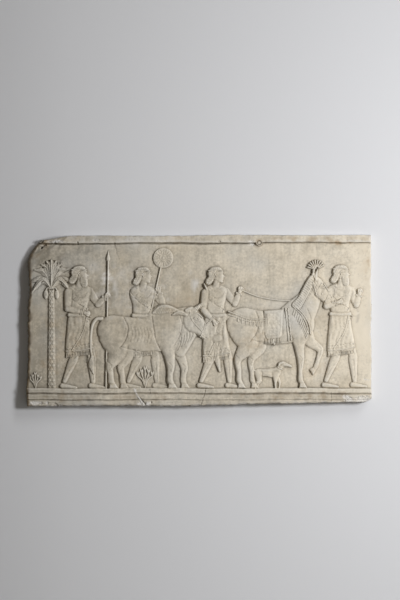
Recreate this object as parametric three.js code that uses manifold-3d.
// Plaster relief panel for a wall. Millimetres, +Z up, the carved face looks to -Y.
// The origin is the centre of the flat back, which rests on the wall.
import * as THREE from "three";
import { ConvexGeometry } from "three/addons/geometries/ConvexGeometry.js";
import { mergeVertices } from "three/addons/utils/BufferGeometryUtils.js";
import Module from "manifold-3d";

const wasm = await Module();
wasm.setup();

// Overall sizes of the slab.
const PANEL_WIDTH = 1000;
const PANEL_HEIGHT = 494;
const FIELD_DEPTH = 34;
const BAND_RISE = 7;
const LEDGE_RISE = 8;
const BACK_SPREAD = 5;

// The mouldings, each a height along Z, counted inwards from the panel's top and bottom edges.
const TOP_BAND = 21;
const TOP_GROOVE = 7;
const TOP_GROOVE_CUT = 3;
const LIP = 13;
const LOWER_GROOVE = 4;
const LOWER_BAND = 14;
const LEDGE_GROOVE = 5;
const LEDGE = 13;
const GROOVE_CUT = 4;
const ARRIS = 1;

// The lost top left corner and the smaller one at the bottom right, from the panel's own corners.
const BREAK_DOWN = 75;
const BREAK_ALONG = 136;
const BREAK_IN = 40;
const BREAK_DROP = 12;
const CUT_ALONG = 20;
const CUT_UP = 9;
const LOWER_RISE = 7;

// The break left a slanted face, so wide and so deep, that looks left and this many degrees up.
const BREAK_SLOPE = 45;
const BREAK_DEEP = 13;
const BREAK_LEAN = 45;

// Heights and scales of the figures. Each stands on the ledge.
const MAN_HEIGHT = 356;
const GROOM_HEIGHT = 352;
const HORSE_SCALE = 1.14;
const BULL_SCALE = 1.06;
const HOUND_SCALE = 0.82;
const PALM_TRUNK = 292;
const SPEAR_LENGTH = 380;
const NEAR_RELIEF = 9;
const ANIMAL_RELIEF = 10.5;
const FAR_RELIEF = 6.5;
const ROOT_DEPTH = 3;

// Places along the ledge, from the panel's middle.
const PALM_X = -432;
const SPEARMAN_X = -352;
const BULL_X = -300;
const FAN_BEARER_X = -166;
const GROOM_X = 46;
const HORSE_X = 76;
const HOUND_X = 150;
const LEADER_X = 410;

const topEdge = PANEL_HEIGHT / 2;
const topBandLow = topEdge - TOP_BAND;
const topGrooveLow = topBandLow - TOP_GROOVE;
const lipHigh = -topEdge + LIP;
const lowerBandLow = lipHigh + LOWER_GROOVE;
const lowerBandHigh = lowerBandLow + LOWER_BAND;
const ledgeLow = lowerBandHigh + LEDGE_GROOVE;
const ledgeHigh = ledgeLow + LEDGE;
const GROUND = ledgeHigh;

// Makes a solid from a closed surface.
function solid(geometry) {
  const bare = new THREE.BufferGeometry();
  bare.setAttribute("position", geometry.getAttribute("position").clone());
  if (geometry.index) {
    bare.setIndex(geometry.index.clone());
  }
  const merged = mergeVertices(bare, 1e-4);
  const vertProperties = new Float32Array(merged.getAttribute("position").array);
  const triVerts = new Uint32Array(merged.index.array);
  return new wasm.Manifold(new wasm.Mesh({ numProp: 3, vertProperties, triVerts }));
}

// Joins solids pair by pair.
function joined(list) {
  let left = list;
  while (left.length > 1) {
    const next = [];
    for (let i = 0; i < left.length; i += 2) {
      next.push(i + 1 < left.length ? left[i].add(left[i + 1]) : left[i]);
    }
    left = next;
  }
  return left[0];
}

// A ring of points around (x, z) at a depth in front of the wall.
function ring(x, z, radius, depth, sides) {
  const points = [];
  for (let i = 0; i < sides; i += 1) {
    const angle = (2 * Math.PI * (i + 0.5)) / sides;
    points.push(new THREE.Vector3(x + radius * Math.cos(angle), -depth, z + radius * Math.sin(angle)));
  }
  return points;
}

const figures = [];

// A limb: rounded bars from point to point, each point with its own radius.
function limb(points, top) {
  for (let i = 0; i + 1 < points.length; i += 1) {
    const corners = [];
    for (const [x, z, radius] of [points[i], points[i + 1]]) {
      const sides = radius > 16 ? 10 : 6;
      corners.push(...ring(x, z, radius, FIELD_DEPTH - ROOT_DEPTH, sides));
      corners.push(...ring(x, z, radius * 0.94, FIELD_DEPTH + top * 0.55, sides));
      corners.push(...ring(x, z, radius * 0.6, FIELD_DEPTH + top * 0.95, sides));
    }
    figures.push(solid(new ConvexGeometry(corners)));
  }
}

// A flat raised shape inside an outline.
function plate(points, top) {
  const shape = new THREE.Shape(points.map(([x, z]) => new THREE.Vector2(x, z)));
  const depth = top * 0.9 + ROOT_DEPTH;
  const geometry = new THREE.ExtrudeGeometry(shape, { depth, bevelEnabled: false });
  geometry.rotateX(Math.PI / 2);
  geometry.translate(0, -(FIELD_DEPTH - ROOT_DEPTH), 0);
  figures.push(solid(geometry));
}

// Moves and scales points from a figure's own sizes to the panel.
function placed(x, scale) {
  return (points) =>
    points.map(([a, b, radius]) => [x + a * scale, GROUND + b * scale, (radius || 0) * scale]);
}

function man(x, height, top, hem, nearArm, farArm) {
  const at = placed(x, height);
  if (farArm) {
    limb(at(farArm), top - 2.5);
  }
  limb(at([[0.03, 0.46, 0.05], [0.098, 0.28, 0.036], [0.115, 0.045, 0.02]]), top - 2.5);
  limb(at([[0.097, 0.024, 0.022], [0.21, 0.01, 0.011]]), top - 2);
  limb(at([[-0.02, 0.46, 0.05], [-0.035, 0.28, 0.036], [-0.122, 0.06, 0.02]]), top - 0.5);
  limb(at([[-0.14, 0.024, 0.022], [-0.027, 0.01, 0.011]]), top);
  const skirt = [[-0.08, 0.62], [0.07, 0.62], [0.092, 0.5], [0.114, hem + 0.02], [0.11, hem - 0.015]];
  plate(at([...skirt, [-0.104, hem - 0.045], [-0.107, hem - 0.01], [-0.1, 0.48]]), top);
  limb(at([[-0.078, 0.605, 0.018], [0.074, 0.605, 0.018]]), top + 2.2);
  const chest = [[-0.07, 0.61], [-0.088, 0.7], [-0.112, 0.785], [-0.098, 0.825], [-0.04, 0.855]];
  plate(at([...chest, [0.05, 0.855], [0.1, 0.82], [0.096, 0.76], [0.072, 0.68], [0.068, 0.61]]), top + 0.8);
  limb(at([[0.0, 0.84, 0.034], [0.012, 0.885, 0.03]]), top);
  limb(at([[-0.01, 0.945, 0.056], [0.012, 0.945, 0.058]]), top + 1.5);
  limb(at([[0.012, 0.945, 0.05], [0.04, 0.9, 0.034]]), top + 1);
  limb(at([[0.05, 0.93, 0.024], [0.076, 0.924, 0.007]]), top);
  limb(at([[-0.05, 0.92, 0.03], [-0.058, 0.884, 0.028]]), top + 1.5);
  if (nearArm) {
    limb(at(nearArm), top + 2);
  }
}

function beard(x, height, top) {
  limb(placed(x, height)([[0.048, 0.892, 0.028], [0.046, 0.858, 0.026]]), top + 1);
}

// A leg with its hoof; the hoof reaches the ground unless it is lifted.
function hoofedLeg(points, top, lifted) {
  limb(points, top);
  const [x, z, r] = points[points.length - 1];
  const drop = lifted ? 2 * r : z - GROUND;
  const turn = lifted ? (-58 * Math.PI) / 180 : 0;
  const hoof = [[-1.1 * r, 2], [-1.3 * r, -drop], [2.2 * r, -drop], [1.1 * r, 2]];
  const cos = Math.cos(turn);
  const sin = Math.sin(turn);
  plate(hoof.map(([a, b]) => [x + a * cos - b * sin, z + a * sin + b * cos]), top + 0.9);
}

function horse(x, s, top) {
  const at = placed(x, s);
  hoofedLeg(at([[60, 142, 30], [84, 108, 20], [64, 72, 9.4], [67, 22, 6.4], [71, 13, 6]]), top - 3.5, false);
  const raisedLeg = [[198, 148, 24], [216, 118, 14], [240, 98, 9.4], [230, 56, 6], [226, 48, 6]];
  hoofedLeg(at(raisedLeg), top - 3.5, true);
  limb(at([[10, 186, 7], [-6, 176, 8], [-20, 134, 9.5], [-24, 86, 9.5], [-16, 44, 3]]), top - 2);
  limb(at([[46, 163, 43], [120, 154, 43], [184, 164, 44]]), top);
  limb(at([[178, 178, 46], [206, 214, 33], [232, 266, 18]]), top);
  hoofedLeg(at([[46, 146, 38], [56, 112, 26], [31, 74, 10.6], [33, 22, 7], [37, 13, 6.6]]), top + 0.4, false);
  const nearForeleg = [[190, 146, 29], [187, 112, 15], [191, 74, 9.8], [190, 22, 6.8], [194, 13, 6.4]];
  hoofedLeg(at(nearForeleg), top + 0.6, false);
  limb(at([[233, 262, 21], [250, 246, 20], [278, 209, 9.5]]), top + 1.6);
  limb(at([[176, 218, 10], [198, 250, 12], [218, 280, 8]]), top + 2);
  limb(at([[224, 278, 6], [230, 303, 2]]), top + 2.5);
  plate(at([[224, 296], [238, 296], [250, 316], [231, 327], [210, 316]]), top + 0.5);
  plate(at([[96, 198], [148, 202], [144, 134], [142, 114], [100, 113], [98, 134]]), top + 2);
}

function bull(x, s, top) {
  const at = placed(x, s);
  hoofedLeg(at([[62, 130, 30], [84, 96, 20], [66, 60, 11], [70, 22, 8], [73, 13, 8]]), top - 3.5, false);
  const farForeleg = [[212, 122, 26], [228, 92, 15], [240, 58, 10.6], [237, 22, 8], [240, 13, 8]];
  hoofedLeg(at(farForeleg), top - 3.5, false);
  const tail = [[14, 192, 5.5], [-2, 190, 5], [-14, 166, 4.6], [-17, 116, 4.2], [-15, 66, 9], [-10, 42, 2]];
  limb(at(tail), top - 1);
  limb(at([[160, 196, 22], [182, 208, 24], [206, 200, 22]]), top + 0.6);
  limb(at([[44, 160, 42], [130, 148, 47], [176, 154, 52], [206, 166, 48], [252, 194, 30]]), top);
  plate(at([[204, 112], [220, 86], [238, 84], [256, 114], [276, 150], [238, 180], [212, 150]]), top - 0.4);
  hoofedLeg(at([[46, 142, 40], [56, 102, 27], [36, 62, 12], [39, 22, 8.8], [43, 13, 8.4]]), top + 0.4, false);
  const nearForeleg = [[198, 136, 34], [199, 98, 18], [203, 60, 11.6], [201, 22, 8.8], [205, 13, 8.4]];
  hoofedLeg(at(nearForeleg), top + 0.6, false);
  limb(at([[256, 190, 26], [290, 160, 19], [309, 146, 10]]), top + 1.8);
  limb(at([[265, 214, 6.4], [284, 226, 6], [301, 250, 5], [296, 284, 1.8]]), top + 2.4);
  limb(at([[246, 203, 6], [227, 208, 7.4], [208, 203, 2]]), top + 3.8);
}

function hound(x, s, top) {
  const at = placed(x, s);
  limb(at([[20, 50, 12], [34, 27, 6], [22, 6, 3.4], [31, 3, 3.4]]), top - 2);
  limb(at([[88, 46, 11], [98, 24, 5], [96, 4, 3.2], [104, 3, 3.4]]), top - 2);
  limb(at([[18, 56, 3.4], [4, 68, 3], [-6, 84, 2.8], [4, 96, 2.2]]), top - 0.5);
  limb(at([[24, 54, 14], [48, 55, 13], [88, 56, 18], [104, 76, 11], [126, 82, 8], [140, 77, 4.8]]), top);
  limb(at([[24, 48, 13], [26, 28, 7], [15, 16, 4.4], [12, 3, 3.4], [21, 3, 3.4]]), top + 0.6);
  limb(at([[86, 48, 13], [84, 24, 6], [83, 4, 3.4], [91, 3, 3.4]]), top + 0.8);
  limb(at([[110, 90, 5], [100, 86, 5.4], [96, 76, 3]]), top + 2.6);
}

function palm(x, s, height, top) {
  const crown = GROUND + height;
  const trunk = [[x - 13 * s, GROUND], [x + 13 * s, GROUND], [x + 10 * s, crown], [x - 9 * s, crown]];
  plate(trunk, top);
  for (let k = 0; k < 9; k += 1) {
    const turn = ((k - 4) / 4) * 1.72;
    const reach = (66 + 20 * Math.cos(turn)) * s;
    const endX = x + reach * Math.sin(turn);
    const endZ = crown + reach * Math.cos(turn) * 0.95;
    const midX = x + reach * 0.44 * Math.sin(turn);
    const midZ = crown + (Math.max(reach * Math.cos(turn), 18) * 0.6 + 13) * s;
    limb([[x, crown, 3.4], [midX, midZ, 10 * s], [endX, endZ, 2.4]], top - 1 + 0.3 * (4 - Math.abs(k - 4)));
  }
  for (const side of [-1, 1]) {
    const fruitX = x + side * 17 * s;
    limb([[fruitX, crown - 10 * s, 8 * s], [fruitX, crown - 26 * s, 7 * s]], top + 1);
  }
}

function plant(x, s, top) {
  for (const lean of [-24, -8, 8, 24]) {
    const tip = GROUND + (64 - Math.abs(lean) * 0.7) * s;
    limb([[x, GROUND + 2, 2.4], [x + lean * s, tip, 2.2], [x + lean * 1.1 * s, tip + 11 * s, 5.5 * s]], top);
  }
}

// The frieze, the far figures first.
palm(PALM_X, 0.94, PALM_TRUNK, 8);
plant(PALM_X - 48, 0.6, 5);
const fanX = FAN_BEARER_X + 60;
const fanZ = GROUND + 380;
limb([[fanX - 44, fanZ - 190, 2.6], [fanX - 6, fanZ - 26, 2.6]], FAR_RELIEF);
limb([[fanX, fanZ, 30], [fanX + 1, fanZ, 30]], FAR_RELIEF + 0.5);
const fanArm = [[0.085, 0.8, 0.03], [0.165, 0.7, 0.024], [0.135, 0.81, 0.022]];
man(FAN_BEARER_X, GROOM_HEIGHT, FAR_RELIEF, 0.3, null, fanArm);
const bentArm = [[-0.085, 0.79, 0.034], [-0.09, 0.655, 0.028], [0.06, 0.62, 0.02]];
const spearArm = [[0.085, 0.8, 0.032], [0.155, 0.69, 0.026], [0.225, 0.754, 0.02]];
man(SPEARMAN_X, MAN_HEIGHT, NEAR_RELIEF, 0.3, bentArm, spearArm);
beard(SPEARMAN_X, MAN_HEIGHT, NEAR_RELIEF);
const spearX = SPEARMAN_X + 78;
const spearTop = GROUND + SPEAR_LENGTH;
limb([[spearX, GROUND + 2, 2.8], [spearX + 8, spearTop, 2.8]], NEAR_RELIEF + 0.5);
limb([[spearX + 8, spearTop - 2, 6.5], [spearX + 8, spearTop + 18, 1.6]], NEAR_RELIEF);
plant(FAN_BEARER_X + 6, 0.8, 5);
bull(BULL_X, BULL_SCALE, ANIMAL_RELIEF);
const leadingArm = [[-0.085, 0.79, 0.034], [-0.1, 0.65, 0.028], [-0.01, 0.55, 0.02]];
const raisedArm = [[0.085, 0.8, 0.032], [0.16, 0.7, 0.026], [0.202, 0.81, 0.022]];
man(GROOM_X, GROOM_HEIGHT, NEAR_RELIEF + 0.2, 0.26, leadingArm, raisedArm);
hound(HOUND_X, HOUND_SCALE, 7.5);
horse(HORSE_X, HORSE_SCALE, ANIMAL_RELIEF);
const bridleArm = [[-0.085, 0.79, 0.034], [-0.115, 0.67, 0.028], [-0.01, 0.704, 0.02]];
const greetingArm = [[0.085, 0.8, 0.032], [0.13, 0.68, 0.026], [0.157, 0.78, 0.022]];
man(LEADER_X, MAN_HEIGHT, NEAR_RELIEF + 0.4, 0.3, bridleArm, greetingArm);
beard(LEADER_X, MAN_HEIGHT, NEAR_RELIEF + 0.4);

// The panel's outline, followed round in small steps, with the two lost corners. At the wall it
// is wider by the spread. The sines are the slight waviness of an edge that was cut by eye.
function outline(spread) {
  const halfWidth = PANEL_WIDTH / 2 + spread;
  const halfHeight = PANEL_HEIGHT / 2 + spread * 0.4;
  const cutX = halfWidth - CUT_ALONG;
  const cutZ = -halfHeight + LOWER_RISE + CUT_UP;
  const breakX = -halfWidth + BREAK_IN;
  const breakZ = halfHeight - BREAK_DROP;
  const breakSide = halfHeight - BREAK_DOWN;
  const breakTop = -halfWidth + BREAK_ALONG;
  const points = [];
  for (let i = 0; i <= 8; i += 1) {
    const x = -halfWidth + ((cutX + halfWidth) * i) / 8;
    const risen = LOWER_RISE * Math.min(Math.max((x + 30) / 470, 0), 1);
    points.push([x, -halfHeight + risen + 1.2 * Math.sin(x / 61)]);
  }
  points.push([cutX + CUT_ALONG * 0.45, cutZ - CUT_UP * 0.5]);
  for (let i = 0; i <= 7; i += 1) {
    const z = cutZ + ((halfHeight - cutZ) * i) / 7;
    points.push([halfWidth + 1.2 * Math.sin(z / 23), z]);
  }
  for (let i = 1; i <= 8; i += 1) {
    const x = halfWidth - ((halfWidth - breakTop) * i) / 8;
    points.push([x, halfHeight + 1.3 * Math.sin(x / 74)]);
  }
  points.push([(breakTop + breakX) / 2, (breakZ + halfHeight) / 2 + 1]);
  points.push([breakX, breakZ]);
  points.push([breakX - BREAK_IN * 0.75, breakZ - (BREAK_DOWN - BREAK_DROP) * 0.5]);
  for (let i = 0; i < 7; i += 1) {
    const z = breakSide - ((breakSide + halfHeight) * i) / 7;
    const worn = 5 * Math.exp(-(((z - 95) / 45) ** 2)) - 5 * Math.exp(-(((z + 205) / 50) ** 2));
    points.push([-halfWidth + worn, z]);
  }
  return points;
}

// A block between the back and a depth, wider at the back than at the face.
function block(depth) {
  const face = outline(0);
  const back = outline(BACK_SPREAD);
  const flat = THREE.ShapeUtils.triangulateShape(face.map(([x, z]) => new THREE.Vector2(x, z)), []);
  const positions = [];
  const count = face.length;
  face.forEach(([x, z]) => positions.push(x, -depth, z));
  back.forEach(([x, z]) => positions.push(x, 0, z));
  const index = [];
  flat.forEach(([a, b, c]) => {
    index.push(a, b, c);
    index.push(count + a, count + c, count + b);
  });
  for (let i = 0; i < count; i += 1) {
    const j = (i + 1) % count;
    index.push(i, count + i, count + j);
    index.push(i, count + j, j);
  }
  const geometry = new THREE.BufferGeometry();
  geometry.setAttribute("position", new THREE.Float32BufferAttribute(positions, 3));
  geometry.setIndex(index);
  return solid(geometry);
}

// The bands and grooves are one profile, run along the panel's length and past both ends.
function mouldings() {
  const spare = 20;
  const low = -topEdge - spare;
  const high = topEdge + spare;
  const band = FIELD_DEPTH + BAND_RISE;
  const ledge = FIELD_DEPTH + LEDGE_RISE;
  const floor = band - GROOVE_CUT;
  const topFloor = FIELD_DEPTH - TOP_GROOVE_CUT;
  const profile = [[0, low], [band, low], [band, lipHigh], [floor, lipHigh + ARRIS]];
  profile.push([floor, lowerBandLow - ARRIS], [band, lowerBandLow]);
  profile.push([band, lowerBandHigh], [floor, lowerBandHigh + ARRIS]);
  profile.push([floor, ledgeLow - ARRIS], [ledge, ledgeLow], [ledge, ledgeHigh - ARRIS]);
  profile.push([FIELD_DEPTH, ledgeHigh + ARRIS], [FIELD_DEPTH, topGrooveLow]);
  profile.push([topFloor, topGrooveLow + ARRIS]);
  profile.push([topFloor, topBandLow - ARRIS], [band, topBandLow + ARRIS], [band, high], [0, high]);
  const shape = new THREE.Shape(profile.map(([depth, z]) => new THREE.Vector2(-depth, z)));
  const geometry = new THREE.ExtrudeGeometry(shape, { depth: PANEL_WIDTH + 2 * spare, bevelEnabled: false });
  geometry.applyMatrix4(new THREE.Matrix4().set(0, 0, 1, 0, 1, 0, 0, 0, 0, 1, 0, 0, 0, 0, 0, 1));
  geometry.translate(-PANEL_WIDTH / 2 - spare, 0, 0);
  return solid(geometry);
}

// The slanted face of the break. It meets the outline at a depth behind the panel's face.
function withBreak(whole) {
  const lean = (BREAK_LEAN * Math.PI) / 180;
  const normal = new THREE.Vector3(Math.cos(lean), BREAK_SLOPE / BREAK_DEEP, -Math.sin(lean));
  const x = -PANEL_WIDTH / 2 + BREAK_IN;
  const z = PANEL_HEIGHT / 2 - BREAK_DROP;
  const rim = new THREE.Vector3(x, BREAK_DEEP - FIELD_DEPTH, z);
  normal.normalize();
  return whole.trimByPlane(normal.toArray(), normal.dot(rim));
}

const whole = joined([mouldings(), ...figures]).intersect(block(FIELD_DEPTH + 2 * ANIMAL_RELIEF));
const body = withBreak(whole);
const mesh = body.getMesh();
const geometry = new THREE.BufferGeometry();
geometry.setAttribute("position", new THREE.BufferAttribute(new Float32Array(mesh.vertProperties), 3));
geometry.setIndex(new THREE.BufferAttribute(new Uint32Array(mesh.triVerts), 1));
geometry.computeVertexNormals();

const plaster = new THREE.MeshStandardMaterial({ color: 0xbdb29f, roughness: 0.85, metalness: 0 });
const panel = new THREE.Mesh(geometry, plaster);
panel.name = "relief_panel";

const part = new THREE.Group();
part.name = "relief_panel_part";
part.add(panel);
export default part;
